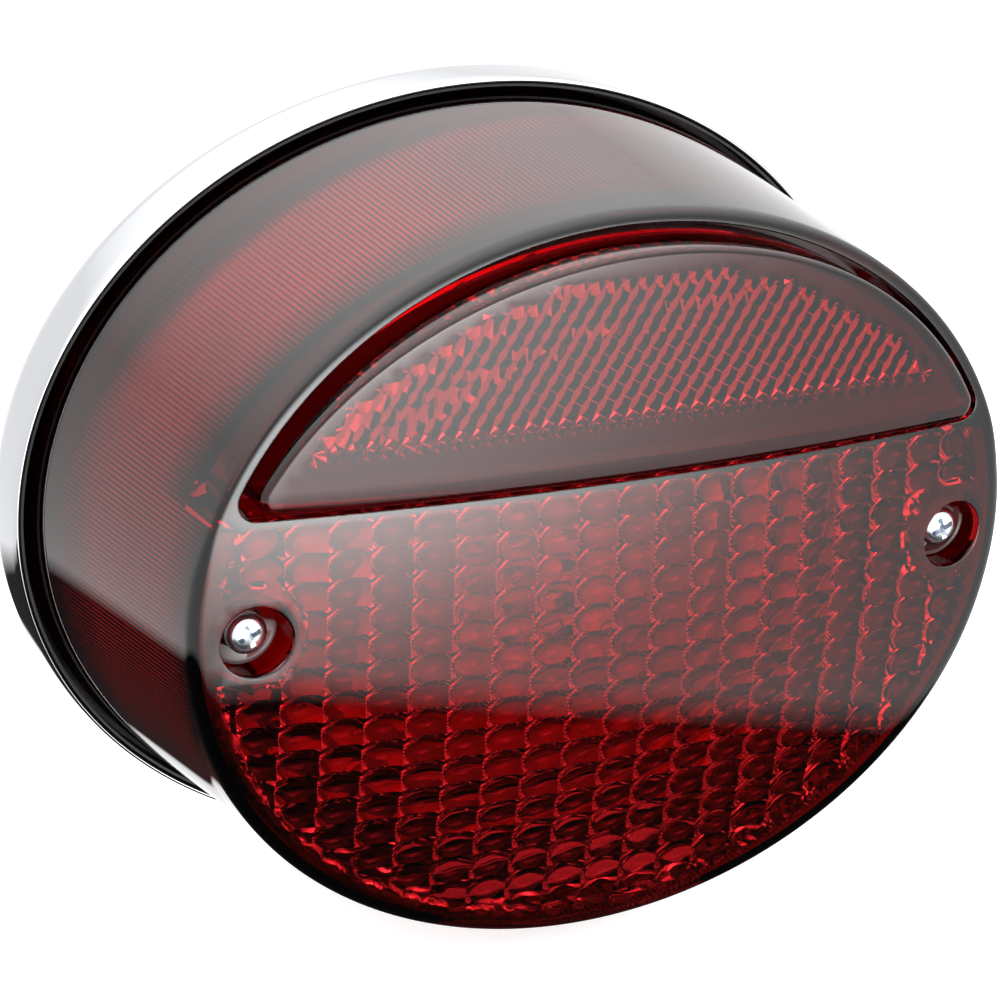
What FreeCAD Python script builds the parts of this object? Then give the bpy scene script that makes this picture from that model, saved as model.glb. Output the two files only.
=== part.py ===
"""Oval motorcycle tail light: smoked lens, top reflex reflector, chrome base and twin-filament bulb.

Millimetres. +X is across the vehicle, +Z is up and the lens faces -Y. The origin is the
centre of the two mounting studs, on the rear face of the rubber mounting pad.
"""
import FreeCAD, Part
import math
import os

V = FreeCAD.Vector
os.makedirs("parts", exist_ok=True)

# ---- Driving dimensions -------------------------------------------------------------
FACE_A = 80.0            # lens face half width
FACE_B = 67.8            # lens face half height
FACE_Z = 0.2             # lens face centre height
REAR_A = 84.8            # lens half width where it enters the chrome rim
REAR_B = 71.4
LENS_DEPTH = 68.5        # rim lip to the crown of the face
FACE_SAG_X = 6.4         # how far the domed face falls away at its side edges
FACE_SAG_Z = 7.6         # and at its top and bottom edges
WALL = 2.5               # lens wall

BASE_A = 87.8            # chrome base half width
BASE_B = 74.0
BASE_DEPTH = 17.0
BASE_WALL = 0.8
BASE_ROUND = 8.0         # rounding of the base's back edge
PAD_T = 3.0              # rubber mounting pad

FIT_GAP = 0.05           # clearance between parts that are bonded or pressed together
SAFE_GAP = 0.4           # clearance between parts that only sit near each other

M4_SHANK_R = 1.95
M4_CLEAR_R = 2.3
M4_HEAD_R = 3.7
M4_HEAD_H = 2.6
M4_TAPPED_R = 2.0
M3_SHANK_R = 1.45
M3_HEAD_R = 2.8
M3_HEAD_H = 2.0

SCREW_X = 69.0           # the two lens screws
SCREW_LENGTH = 16.0
HEAD_SINK = 3.0          # screw head below the lens surface
SCREW_POCKET_R = 6.0
SEAL_T = 1.0

INSERT_R = 2.9           # brass insert in each screw pillar
INSERT_L = 8.0

STUD_SPACING = 60.0      # the two M6 mounting studs
STUD_R = 3.0
SHOULDER_R = 3.4         # plain shoulder of the stud, inside the base and the pad
STUD_REACH = 20.0        # stud length behind the mounting pad
WIRE_BORE_R = 3.2        # hole through the wire grommet
GROMMET_Z = -19.0

CHORD_Z = 21.8           # straight lower edge of the crescent recess
RECESS_A = 78.5          # crescent recess outline
RECESS_B = 65.4
RECESS_DEPTH = 13.0      # recess floor behind the reflector's front
REFLEX_GAP = 1.7         # groove round the reflector
REFLEX_PROUD = 1.8       # reflector front stands this far ahead of the crown
CHORD_GAP = 1.4          # groove under the reflector's straight edge
REFLEX_PLATE = 4.0       # thickness of the reflector's front
REFLEX_WALL = 2.0        # and of the skirt behind it
REFLEX_BACK = 2.0        # plate that seals its back

BOWL_T = 1.6             # reflector behind the bulb
BOWL_Y = -40.0           # back of its flange
BOWL_R = 38.0            # radius of its bowl
BOWL_DEPTH = 10.5
BOWL_A = 58.0            # flange half width
BOWL_B = 44.0
BOWL_Z = -8.0            # flange centre height
POST_X = 40.0            # reflector posts, either side of the flange's centre
POST_Z = 28.0

BULB_Z = -12.0           # bulb axis
BULB_LENGTH = 52.5
BULB_R = 12.5            # glass
CAP_R = 7.5              # bayonet cap
CAP_L = 16.0
CONTACT_Y = -22.0        # rear tips of the bulb's contacts
CONTACT_X = 3.0          # its two contacts lie this far from the axis
PIN_R = 1.0              # bayonet pins
PIN_TIP_R = 8.5
PIN_Y = (-31.0, -34.0)   # right pin and left pin, offset so that the bulb fits one way
BULB_TURN = 20.0         # degrees from locked to free
BULB_GAP = 0.3           # clearance between the bulb and its socket

# ---- Planes worked out from them ----------------------------------------------------
BASE_BACK = -PAD_T
RIM_LIP = BASE_BACK - BASE_DEPTH
CROWN = RIM_LIP - LENS_DEPTH
BASE_FLOOR = BASE_BACK - BASE_WALL
TRAY_BACK = -10.5
TRAY_T = 2.0
TRAY_FRONT = TRAY_BACK - TRAY_T
GASKET_T = 1.6
GASKET_GAP = 0.3
GASKET_BAND = 6.0
GASKET_LIP_T = 0.5
GASKET_LIP_TOP = RIM_LIP + 0.5
SKIRT_END = TRAY_FRONT - GASKET_T - FIT_GAP
FACE_EDGE = CROWN + FACE_SAG_X + 0.6
SCREW_FACE = CROWN + FACE_SAG_X * (SCREW_X / FACE_A) ** 2
HEAD_UNDER = SCREW_FACE + HEAD_SINK + M4_HEAD_H
POCKET_FLOOR = HEAD_UNDER + SEAL_T
POCKET_END = POCKET_FLOOR + 3.5
PILLAR_TIP = POCKET_END + 0.1
BOWL_FRONT = BOWL_Y - BOWL_T
BULB_TIP = CONTACT_Y - BULB_LENGTH
CAP_BACK = CONTACT_Y - 1.9
CAP_FRONT = CAP_BACK - CAP_L
SOCKET_R = CAP_R + BULB_GAP


# ---- Shape helpers ------------------------------------------------------------------
def oval_wire(a, b, y, z=0.0):
    """Closed ellipse in the plane y, half width a and half height b."""
    wire = Part.Wire(Part.Ellipse(V(0, 0, 0), a, b).toShape())
    wire.rotate(V(0, 0, 0), V(1, 0, 0), 90)
    wire.translate(V(0, y, z))
    return wire


def oval_plate(a, b, y_front, y_back, z=0.0):
    """Oval slab between two planes."""
    face = Part.Face(oval_wire(a, b, y_back, z))
    return face.extrude(V(0, y_front - y_back, 0))


def oval_ring(a, b, width, y_front, y_back, z=0.0):
    """Oval slab with an oval hole, width wide."""
    hole = oval_plate(a - width, b - width, y_front - 1, y_back + 1, z)
    return oval_plate(a, b, y_front, y_back, z).cut(hole)


def rod(radius, y_front, y_back, x=0.0, z=0.0):
    """Cylinder along Y between two planes."""
    return Part.makeCylinder(radius, y_back - y_front, V(x, y_front, z), V(0, 1, 0))


def cone(r_front, r_back, y_front, y_back, x=0.0, z=0.0):
    """Cone along Y between two planes."""
    return Part.makeCone(r_front, r_back, y_back - y_front, V(x, y_front, z), V(0, 1, 0))


def block(x0, x1, y0, y1, z0, z1):
    """Box between opposite corners."""
    return Part.makeBox(x1 - x0, y1 - y0, z1 - z0, V(x0, y0, z0))


def fuse_all(shapes):
    """One shape from many."""
    result = shapes[0]
    for shape in shapes[1:]:
        result = result.fuse(shape)
    return result.removeSplitter()


def cut_all(shape, tools):
    """Shape with every tool cut away."""
    for tool in tools:
        shape = shape.cut(tool)
    return shape


def group(shapes):
    """Separate solids kept in one node."""
    return Part.makeCompound(shapes)


def export(name, shape):
    """Write one node, after checking that it is a sound solid."""
    if not shape.isValid():
        raise ValueError(name + " is not a valid shape")
    shape.exportStep("parts/" + name + ".step")


def edges_near(shape, test):
    """Edges that pass the test."""
    return [edge for edge in shape.Edges if test(edge)]


def lies_on_plane(y):
    """Test for an edge that lies wholly in the plane y."""
    def test(edge):
        box = edge.BoundBox
        return abs(box.YMin - y) < 0.01 and abs(box.YMax - y) < 0.01
    return test


# ---- Lens outline -------------------------------------------------------------------
def wall_section(y, inset=0.0):
    """Tapered wall outline at y. Its lower edge lifts clear of the straight lower band."""
    share = (RIM_LIP - y) / (RIM_LIP - FACE_EDGE)
    a = REAR_A + share * (FACE_A + 0.4 - REAR_A) - inset
    b = REAR_B + share * (FACE_B - 1.5 - REAR_B) - inset
    return oval_wire(a, b, y, share * (FACE_Z + 1.5))


def dome(crown, inset=0.0):
    """Solid behind the domed face: an arc across X swept about a level axis."""
    radius_x = FACE_A ** 2 / (2 * FACE_SAG_X) - inset
    radius_z = FACE_B ** 2 / (2 * FACE_SAG_Z) - inset
    half = FACE_A + 20
    y_side = crown + radius_x - math.sqrt(radius_x ** 2 - half ** 2)
    arc = Part.Arc(V(-half, y_side, 0), V(0, crown, 0), V(half, y_side, 0)).toShape()
    back = [V(half, y_side, 0), V(half, 10, 0), V(-half, 10, 0), V(-half, y_side, 0)]
    profile = Part.Face(Part.Wire([arc] + Part.makePolygon(back).Edges))
    pivot = V(0, crown + radius_z, 0)
    swing = 25
    profile.rotate(pivot, V(1, 0, 0), -swing)
    return profile.revolve(pivot, V(1, 0, 0), 2 * swing)


def lens_body(inset, y_back):
    """Solid outline of the lens: tapered wall, straight lower band and domed face."""
    front = CROWN - 4
    walls = Part.makeLoft([wall_section(y_back, inset), wall_section(front, inset)], True, True)
    band = oval_plate(FACE_A - inset, FACE_B - inset, front, CROWN + 41, FACE_Z)
    below = block(-FACE_A - 10, FACE_A + 10, front - 1, CROWN + 42, -FACE_B - 10, -11)
    body = walls.fuse(band.common(below))
    return body.common(dome(CROWN + inset, inset))


# ---- Crescent recess and reflector ---------------------------------------------------
def crescent(a, b, chord_z, corner, y_front, y_back):
    """Segment of an oval above a level chord, with rounded lower corners."""
    plate = oval_plate(a, b, y_front, y_back, FACE_Z)
    above = block(-a - 5, a + 5, y_front - 1, y_back + 1, chord_z, FACE_B + 20)
    segment = plate.common(above)

    def at_corner(edge):
        box = edge.BoundBox
        return box.YLength > (y_back - y_front) / 2 and box.XLength < 0.01
    return segment.makeFillet(corner, edges_near(segment, at_corner))


def behind_reflex_front(offset):
    """Space behind the reflector's upright curved front, moved back by offset."""
    radius = FACE_A ** 2 / (2 * FACE_SAG_X)
    pivot_y = CROWN - REFLEX_PROUD + radius
    return Part.makeCylinder(radius - offset, 240, V(0, pivot_y, -120), V(0, 0, 1))


def crescent_between(inset, corner, offset_front, offset_back, chord_gap=None):
    """Crescent slab between two offsets from the curved front; inset shrinks its outline."""
    gap = inset if chord_gap is None else chord_gap
    slab = crescent(RECESS_A - inset, RECESS_B - inset, CHORD_Z + gap, corner, CROWN - 15, CROWN + 45)
    slab = slab.common(behind_reflex_front(offset_front))
    if offset_back is None:
        return slab
    return slab.cut(behind_reflex_front(offset_back))


# ---- Lens assembly ------------------------------------------------------------------
WINDOW = (26.0, CROWN + 20, CROWN + 38)      # half width, front and back of the licence window


def window_block(grow):
    """Block that marks the licence window in the lower wall."""
    half, front, back = WINDOW
    return block(-half - grow, half + grow, front - grow, back + grow, -FACE_B - 12, -FACE_B + 12)


def lens_shell():
    """Smoked lens: hollow shell with the crescent recess and two screw pockets."""
    outer = lens_body(0.0, SKIRT_END)
    inner = lens_body(WALL, SKIRT_END + 1)
    cup = crescent_between(-2.0, 5.0, -20, RECESS_DEPTH + 2.2).common(outer)
    shell = outer.cut(inner).fuse(cup)
    for side in (-1, 1):
        shell = shell.fuse(rod(SCREW_POCKET_R + 2, CROWN, POCKET_END, side * SCREW_X).common(outer))
    shell = shell.cut(crescent_between(0.0, 3.0, -20, RECESS_DEPTH))
    for side in (-1, 1):
        shell = shell.cut(cone(SCREW_POCKET_R + 0.3, SCREW_POCKET_R - 0.3, SCREW_FACE - 6,
                               POCKET_FLOOR, side * SCREW_X))
        shell = shell.cut(rod(M4_CLEAR_R, CROWN, POCKET_END + 1, side * SCREW_X))
    return shell.cut(window_block(0.0))


def licence_window():
    """Clear pane let into the lower wall of the lens."""
    wall = lens_body(0.0, SKIRT_END).cut(lens_body(WALL, SKIRT_END + 1))
    return wall.common(window_block(-FIT_GAP))


def reflex_reflector():
    """Red reflector: thick front plate with a skirt, standing proud of the domed face."""
    back = RECESS_DEPTH - REFLEX_BACK - FIT_GAP
    body = crescent_between(REFLEX_GAP, 3.0, 0.0, back, CHORD_GAP)
    hollow = crescent_between(REFLEX_GAP + REFLEX_WALL, 2.0, REFLEX_PLATE, None, CHORD_GAP + REFLEX_WALL)
    return body.cut(hollow)


def reflex_back_plate():
    """Plate that seals the back of the reflector and stands on the recess floor."""
    front = RECESS_DEPTH - REFLEX_BACK
    return crescent_between(REFLEX_GAP, 3.0, front, RECESS_DEPTH - FIT_GAP, CHORD_GAP)


def cross_recess(size, depth, y_front, x):
    """Tapered cross-shaped driver recess."""
    arm = size / 4
    bars = []
    for long_x, long_z in ((size, arm), (arm, size)):
        front = block(x - long_x / 2, x + long_x / 2, y_front - 1, y_front + depth, -long_z / 2, long_z / 2)
        bars.append(front)
    return bars[0].fuse(bars[1]).common(cone(size * 0.62, size * 0.2, y_front - 1, y_front + depth, x))


def lens_screw(side):
    """Pan head screw with a cross recess."""
    x = side * SCREW_X
    y_top = HEAD_UNDER - M4_HEAD_H
    head = rod(M4_HEAD_R, y_top, HEAD_UNDER, x)
    crown = Part.makeSphere(7.5, V(x, y_top + 7.5, 0))
    skirt = rod(M4_HEAD_R, y_top + 1, HEAD_UNDER, x)
    head = head.common(crown).fuse(skirt.common(crown))
    tip = HEAD_UNDER + SCREW_LENGTH
    shank = rod(M4_SHANK_R, HEAD_UNDER - 0.5, tip - 1, x)
    point = cone(M4_SHANK_R, M4_SHANK_R - 0.8, tip - 1, tip, x)
    screw = fuse_all([head, shank, point])
    return screw.cut(cross_recess(4.2, 1.9, y_top, x))


def screw_seal(side):
    """Rubber ring under the screw head."""
    ring = rod(M4_HEAD_R - 0.1, HEAD_UNDER + FIT_GAP, POCKET_FLOOR - FIT_GAP, side * SCREW_X)
    return ring.cut(rod(M4_SHANK_R + FIT_GAP, HEAD_UNDER - 1, POCKET_FLOOR + 1, side * SCREW_X))


# ---- Base assembly ------------------------------------------------------------------
STUD_X = STUD_SPACING / 2
BOSSES = [(52.0, 34.0), (-52.0, 34.0), (52.0, -34.0), (-52.0, -34.0)]
POSTS = [(x, BOWL_Z + z) for x in (POST_X, -POST_X) for z in (POST_Z, -POST_Z)]
STUD_HEAD_R = 8.0
STUD_HEAD_T = 2.5
BOSS_R = 4.5
PAD_A = 58.0
PAD_B = 34.0
PAD_HOLE_R = 10.5
TRAY_WALL_A = 78.0            # low wall round the tray
TRAY_WALL_B = 63.5
TRAY_WALL_T = 1.8
TRAY_WALL_H = 8.0
TRAY_WIRE_R = 11.0
PILLAR_R = (4.6, 6.0)         # at its tip and its foot
POST_R = (3.6, 4.8)
RIB_L = 8.5
RIB_H = 24.0
RIB_T = 1.8
RIB_SLOPE = 14                # degrees
LIP_ROUND = 0.7
GROMMET_HOLE_R = 6.5
DRAIN = (0.0, -50.0, 3.0)      # x, z and radius of the drain hole


def chrome_base():
    """Deep chrome dish with a rounded back edge."""
    outer = oval_plate(BASE_A, BASE_B, RIM_LIP, BASE_BACK)
    outer = outer.makeFillet(BASE_ROUND, edges_near(outer, lies_on_plane(BASE_BACK)))
    outer = outer.makeFillet(LIP_ROUND, edges_near(outer, lies_on_plane(RIM_LIP)))
    inner = oval_plate(BASE_A - BASE_WALL, BASE_B - BASE_WALL, RIM_LIP - 1, BASE_FLOOR)
    inner = inner.makeFillet(BASE_ROUND - BASE_WALL, edges_near(inner, lies_on_plane(BASE_FLOOR)))
    holes = [rod(SHOULDER_R + FIT_GAP, RIM_LIP, 1, side * STUD_X) for side in (-1, 1)]
    holes.append(rod(GROMMET_HOLE_R, RIM_LIP, 1, 0, GROMMET_Z))
    holes.append(rod(DRAIN[2], RIM_LIP, 1, DRAIN[0], DRAIN[1]))
    return cut_all(outer.cut(inner), holes)


def base_bosses():
    """Four tapped bosses welded inside the base."""
    front = TRAY_BACK + FIT_GAP
    bosses = []
    for x, z in BOSSES:
        boss = rod(BOSS_R, front, BASE_FLOOR - FIT_GAP, x, z)
        bosses.append(boss.cut(rod(M4_TAPPED_R, front - 1, BASE_FLOOR - 1.2, x, z)))
    return group(bosses)


def mounting_studs():
    """Two headed and shouldered studs that carry the light."""
    studs = []
    for side in (-1, 1):
        x = side * STUD_X
        head_back = BASE_FLOOR - FIT_GAP
        head = rod(STUD_HEAD_R, head_back - STUD_HEAD_T, head_back, x)
        shoulder = rod(SHOULDER_R, head_back - 1, 0, x)
        shank = rod(STUD_R, -1, STUD_REACH - 1, x)
        point = cone(STUD_R, STUD_R - 1, STUD_REACH - 1, STUD_REACH, x)
        studs.append(fuse_all([head, shoulder, shank, point]))
    return group(studs)


def back_pad():
    """Rubber pad between the base and the mudguard."""
    pad = oval_plate(PAD_A, PAD_B, BASE_BACK + FIT_GAP, 0)
    pad = pad.makeFillet(0.8, edges_near(pad, lies_on_plane(0)))
    holes = [rod(SHOULDER_R + 0.1, BASE_BACK - 1, 1, side * STUD_X) for side in (-1, 1)]
    holes.append(rod(PAD_HOLE_R, BASE_BACK - 1, 1, 0, GROMMET_Z))
    return cut_all(pad, holes)


def wire_grommet():
    """Rubber gland in the back of the base, with an open hole for the wires."""
    neck = rod(GROMMET_HOLE_R - FIT_GAP, BASE_FLOOR - 1, BASE_BACK + 1, 0, GROMMET_Z)
    inside = cone(7.5, 9.0, BASE_FLOOR - 3, BASE_FLOOR - FIT_GAP, 0, GROMMET_Z)
    outside = cone(9.0, 7.5, BASE_BACK + FIT_GAP, BASE_BACK + 2.6, 0, GROMMET_Z)
    body = fuse_all([inside, neck, outside])
    return body.cut(rod(WIRE_BORE_R, BASE_FLOOR - 10, 5, 0, GROMMET_Z))


def drain_plug():
    """Soft drain nipple at the foot of the base."""
    x, z, radius = DRAIN
    neck = rod(radius - FIT_GAP, BASE_FLOOR - 1.5, BASE_BACK + 1, x, z)
    inside = rod(radius + 1.2, BASE_FLOOR - 1.6, BASE_FLOOR - FIT_GAP, x, z)
    outside = cone(radius + 1.0, radius, BASE_BACK + FIT_GAP, BASE_BACK + 2.2, x, z)
    return fuse_all([neck, inside, outside]).cut(rod(1.2, BASE_FLOOR - 5, 5, x, z))


def base_gasket():
    """Rubber ring under the lens, with a lip up the gap beside the rim."""
    outer_a = BASE_A - BASE_WALL - GASKET_GAP
    outer_b = BASE_B - BASE_WALL - GASKET_GAP
    y_back = TRAY_FRONT - FIT_GAP / 2
    flat = oval_ring(outer_a, outer_b, GASKET_BAND, SKIRT_END + FIT_GAP, y_back)
    lip = oval_ring(outer_a, outer_b, GASKET_LIP_T, GASKET_LIP_TOP, y_back)
    return flat.fuse(lip)


def pillar(side):
    """Tall screw pillar with three ribs at its foot."""
    x = side * SCREW_X
    post = cone(*PILLAR_R, PILLAR_TIP, TRAY_FRONT + 0.5, x)
    ribs = [post]
    for turn in (90, 180, 270):
        rib = block(0, RIB_L, TRAY_FRONT - RIB_H, TRAY_FRONT + 0.5, -RIB_T / 2, RIB_T / 2)
        slope = block(-2, 20, -40, 0, -2, 2)
        slope.rotate(V(0, 0, 0), V(0, 0, 1), -RIB_SLOPE)
        slope.translate(V(4.0, TRAY_FRONT - RIB_H + 1, 0))
        rib = rib.cut(slope)
        rib.rotate(V(0, 0, 0), V(0, 1, 0), turn if side > 0 else turn + 180)
        rib.translate(V(x, 0, 0))
        ribs.append(rib)
    return fuse_all(ribs)


def inner_housing():
    """Moulded tray on the base, with two screw pillars and four reflector posts."""
    edge_a = BASE_A - BASE_WALL - SAFE_GAP
    edge_b = BASE_B - BASE_WALL - SAFE_GAP
    parts = [oval_plate(edge_a, edge_b, TRAY_FRONT, TRAY_BACK)]
    parts.append(oval_ring(TRAY_WALL_A, TRAY_WALL_B, TRAY_WALL_T, TRAY_FRONT - TRAY_WALL_H, TRAY_FRONT + 0.5))
    parts += [pillar(side) for side in (-1, 1)]
    parts += [cone(*POST_R, BOWL_Y, TRAY_FRONT + 0.5, x, z) for x, z in POSTS]
    body = fuse_all(parts)
    holes = [rod(M4_CLEAR_R, TRAY_FRONT - 1, TRAY_BACK + 1, x, z) for x, z in BOSSES]
    holes += [rod(M3_SHANK_R + FIT_GAP, BOWL_Y - 1, BOWL_Y + 9, x, z) for x, z in POSTS]
    for side in (-1, 1):
        x = side * SCREW_X
        holes.append(rod(INSERT_R + FIT_GAP, PILLAR_TIP - 1, PILLAR_TIP + INSERT_L, x))
        holes.append(rod(M4_CLEAR_R, PILLAR_TIP, PILLAR_TIP + INSERT_L + 8, x))
    holes.append(rod(TRAY_WIRE_R, TRAY_FRONT - 1, TRAY_BACK + 1, 0, GROMMET_Z))
    return cut_all(body, holes)


def threaded_insert(side):
    """Brass insert in the tip of a screw pillar."""
    x = side * SCREW_X
    front = PILLAR_TIP + FIT_GAP
    back = PILLAR_TIP + INSERT_L - FIT_GAP
    barrel = rod(INSERT_R, front, back, x)
    groove = rod(INSERT_R + 1, front + 3, front + 4.4, x).cut(rod(INSERT_R - 0.4, front, back, x))
    return barrel.cut(groove).cut(rod(M4_SHANK_R + FIT_GAP, front - 1, back + 1, x))


def pan_screw(x, z, under, head_r, head_h, shank_r, length):
    """Small pan head screw driven towards +Y."""
    head = rod(head_r, under - head_h, under, x, z)
    head = head.makeFillet(head_h * 0.4, edges_near(head, lies_on_plane(under - head_h)))
    shank = rod(shank_r, under - 0.5, under + length, x, z)
    slot = block(x - head_r, x + head_r, under - head_h - 1, under - head_h * 0.45, z - 0.4, z + 0.4)
    return head.fuse(shank).cut(slot)


def housing_screws():
    """Four screws that hold the tray to the base."""
    under = TRAY_FRONT - FIT_GAP
    return group([pan_screw(x, z, under, M4_HEAD_R, M4_HEAD_H, M4_SHANK_R, 6.0) for x, z in BOSSES])


def reflector_screws():
    """Four screws that hold the reflector to its posts."""
    under = BOWL_FRONT - FIT_GAP
    return group([pan_screw(x, z, under, M3_HEAD_R, M3_HEAD_H, M3_SHANK_R, 8.0) for x, z in POSTS])


# ---- Bulb, reflector and socket -----------------------------------------------------
COLLAR_BACK = -26.0
RIM_REACH = 4.0
SOCKET_WALL = 0.9
SOCKET_FRONT = CAP_FRONT + 3.0
SOCKET_BACK = -14.0
GLASS_T = 0.7
NECK_R = 6.6
STEM_TIP = CAP_FRONT - 10.0


def about_bulb(shape):
    """Moves a shape from the Y axis to the bulb's axis."""
    shape.translate(V(0, 0, BULB_Z))
    return shape


def spun(points, arcs):
    """Solid of revolution about Y. An arc's entry gives the point it passes through."""
    edges = []
    for k, (r, y) in enumerate(points):
        here = V(r, y, 0)
        r, y = points[(k + 1) % len(points)]
        there = V(r, y, 0)
        if k in arcs:
            edges.append(Part.Arc(here, V(*arcs[k], 0), there).toShape())
        else:
            edges.append(Part.LineSegment(here, there).toShape())
    return Part.Face(Part.Wire(edges)).revolve(V(0, 0, 0), V(0, 1, 0), 360)


def wedge(radius, y_front, y_back, start, end):
    """Sector of a cylinder along Y, from start to end degrees upwards from +X."""
    sector = Part.makeCylinder(radius, y_back - y_front, V(0, y_front, 0), V(0, 1, 0), end - start)
    sector.rotate(V(0, 0, 0), V(0, -1, 0), end - 90)
    return sector


def reflector_bowl():
    """Metallised flange with a bowl round the bulb and a collar for its socket."""
    neck = SOCKET_R + SOCKET_WALL + FIT_GAP
    foot = BOWL_FRONT + BOWL_DEPTH
    middle = (BOWL_R + neck) / 2
    points = [(BOWL_R + 1.4, BOWL_FRONT), (BOWL_R, BOWL_FRONT), (neck, foot), (neck, COLLAR_BACK),
              (neck + BOWL_T, COLLAR_BACK), (neck + BOWL_T, foot + BOWL_T), (BOWL_R + 1.4, BOWL_Y)]
    arcs = {1: (middle, BOWL_FRONT + 0.75 * BOWL_DEPTH), 5: (middle + 0.8, BOWL_Y + 0.75 * BOWL_DEPTH)}
    bowl = about_bulb(spun(points, arcs))
    flange = oval_plate(BOWL_A, BOWL_B, BOWL_FRONT, BOWL_Y - FIT_GAP, BOWL_Z)
    flange = flange.cut(rod(BOWL_R + 0.7, BOWL_FRONT - 1, BOWL_Y + 1, 0, BULB_Z))
    rim = oval_ring(BOWL_A, BOWL_B, BOWL_T, BOWL_FRONT - RIM_REACH, BOWL_FRONT + 0.5, BOWL_Z)
    body = fuse_all([flange, bowl, rim])
    holes = [rod(M3_SHANK_R + 0.15, BOWL_FRONT - 1, BOWL_Y + 1, x, z) for x, z in POSTS]
    notches = [rod(M3_HEAD_R + SAFE_GAP, BOWL_FRONT - RIM_REACH - 1, BOWL_FRONT, x, z) for x, z in POSTS]
    return cut_all(body, holes + notches)


def bulb_glass():
    """Thin pear-shaped envelope, open at the neck inside the cap."""
    centre = BULB_TIP + BULB_R
    inner = BULB_R - GLASS_T
    end = CAP_FRONT + 3.5
    rise = 3.5
    shoulder = CAP_FRONT - 1.0
    half = math.sqrt(0.5)
    wide = math.sqrt(BULB_R ** 2 - rise ** 2)
    wide_in = math.sqrt(inner ** 2 - rise ** 2)
    points = [(NECK_R, end), (NECK_R, shoulder), (wide, centre + rise), (0, BULB_TIP),
              (0, BULB_TIP + GLASS_T), (wide_in, centre + rise), (NECK_R - GLASS_T, shoulder),
              (NECK_R - GLASS_T, end)]
    arcs = {2: (BULB_R * half, centre - BULB_R * half), 4: (inner * half, centre - inner * half)}
    return about_bulb(spun(points, arcs))


def bulb_stem():
    """Glass mount that carries the filaments."""
    radius = NECK_R - GLASS_T - FIT_GAP
    end = CAP_FRONT + 3.4
    flare = cone(3.0, radius, STEM_TIP + 5, end - 2, 0)
    disc = rod(radius, end - 2, end, 0)
    pinch = block(-3.4, 3.4, STEM_TIP, STEM_TIP + 7, -1.6, 1.6)
    return about_bulb(fuse_all([flare, disc, pinch]))


def filament(y, z, half):
    """One filament and its two support wires."""
    parts = [Part.makeCylinder(0.45, 2 * half, V(-half, y, z), V(1, 0, 0))]
    for side in (-1, 1):
        foot = V(side * half * 0.8, STEM_TIP - FIT_GAP, z * 0.3)
        reach = V(side * (half - 0.3), y, z) - foot
        parts.append(Part.makeCylinder(0.25, reach.Length, foot, reach))
    return fuse_all(parts)


def bulb_filaments():
    """Stop filament and, below it, the tail filament."""
    centre = BULB_TIP + BULB_R
    return about_bulb(group([filament(centre, 1.5, 3.0), filament(centre + 1.5, -3.0, 2.6)]))


def bulb_cap():
    """Bayonet cap with two offset pins."""
    tube = rod(CAP_R, CAP_FRONT, CAP_BACK, 0).cut(rod(CAP_R - 0.45, CAP_FRONT - 1, CAP_BACK - 0.5, 0))
    tube = tube.cut(rod(CAP_R - 1.2, CAP_FRONT, CAP_BACK + 1, 0))
    pins = [Part.makeCylinder(PIN_R, PIN_TIP_R - CAP_R + 0.3, V(side * (CAP_R - 0.3), y, 0), V(side, 0, 0))
            for side, y in zip((1, -1), PIN_Y)]
    return about_bulb(fuse_all([tube] + pins))


def bulb_insulator():
    """Black glass disc in the end of the cap."""
    inside = rod(CAP_R - 0.55, CAP_BACK - 2.5, CAP_BACK - 0.5 - FIT_GAP, 0)
    return about_bulb(inside.fuse(rod(CAP_R - 1.3, CAP_BACK - 1, CAP_BACK + 0.6, 0)).removeSplitter())


def bulb_contacts():
    """Two solder contacts on the insulator."""
    domes = []
    for side in (-1, 1):
        dome = rod(1.6, CAP_BACK + 0.6 + FIT_GAP, CONTACT_Y, side * CONTACT_X)
        domes.append(dome.makeFillet(0.6, edges_near(dome, lies_on_plane(CONTACT_Y))))
    return about_bulb(group(domes))


def bulb_socket():
    """Steel socket with two bayonet slots, a flange behind the reflector and a closed back."""
    outer = SOCKET_R + SOCKET_WALL
    tube = rod(outer, SOCKET_FRONT, SOCKET_BACK, 0).cut(rod(SOCKET_R, SOCKET_FRONT - 1, SOCKET_BACK - 0.9, 0))
    flange_front = COLLAR_BACK + FIT_GAP
    flange = rod(outer + 3, flange_front, flange_front + 0.9, 0).cut(rod(SOCKET_R, -40, -10, 0))
    slots = []
    slack = PIN_R + BULB_GAP
    pin_angle = math.degrees(slack / CAP_R)
    for side, y in zip((1, -1), PIN_Y):
        turn_slot = wedge(outer + 1, y - slack, y + slack, -pin_angle, BULB_TURN + pin_angle)
        entry = wedge(outer + 1, SOCKET_FRONT - 1, y + slack, BULB_TURN - pin_angle, BULB_TURN + pin_angle)
        slot = turn_slot.fuse(entry)
        if side < 0:
            slot.rotate(V(0, 0, 0), V(0, 1, 0), 180)
        slots.append(slot)
    holes = [rod(1.8, SOCKET_BACK - 2, SOCKET_BACK + 1, side * CONTACT_X) for side in (-1, 1)]
    return about_bulb(cut_all(tube.fuse(flange), slots + holes))


DISC_FRONT = CONTACT_Y + 1.0
DISC_BACK = DISC_FRONT + 1.8


def socket_disc():
    """Fibre disc that slides in the socket and carries its two contacts."""
    disc = rod(SOCKET_R - 0.2, DISC_FRONT, DISC_BACK, 0)
    return about_bulb(cut_all(disc, [rod(1.1, DISC_FRONT - 1, DISC_BACK + 1, side * CONTACT_X)
                                     for side in (-1, 1)]))


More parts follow.
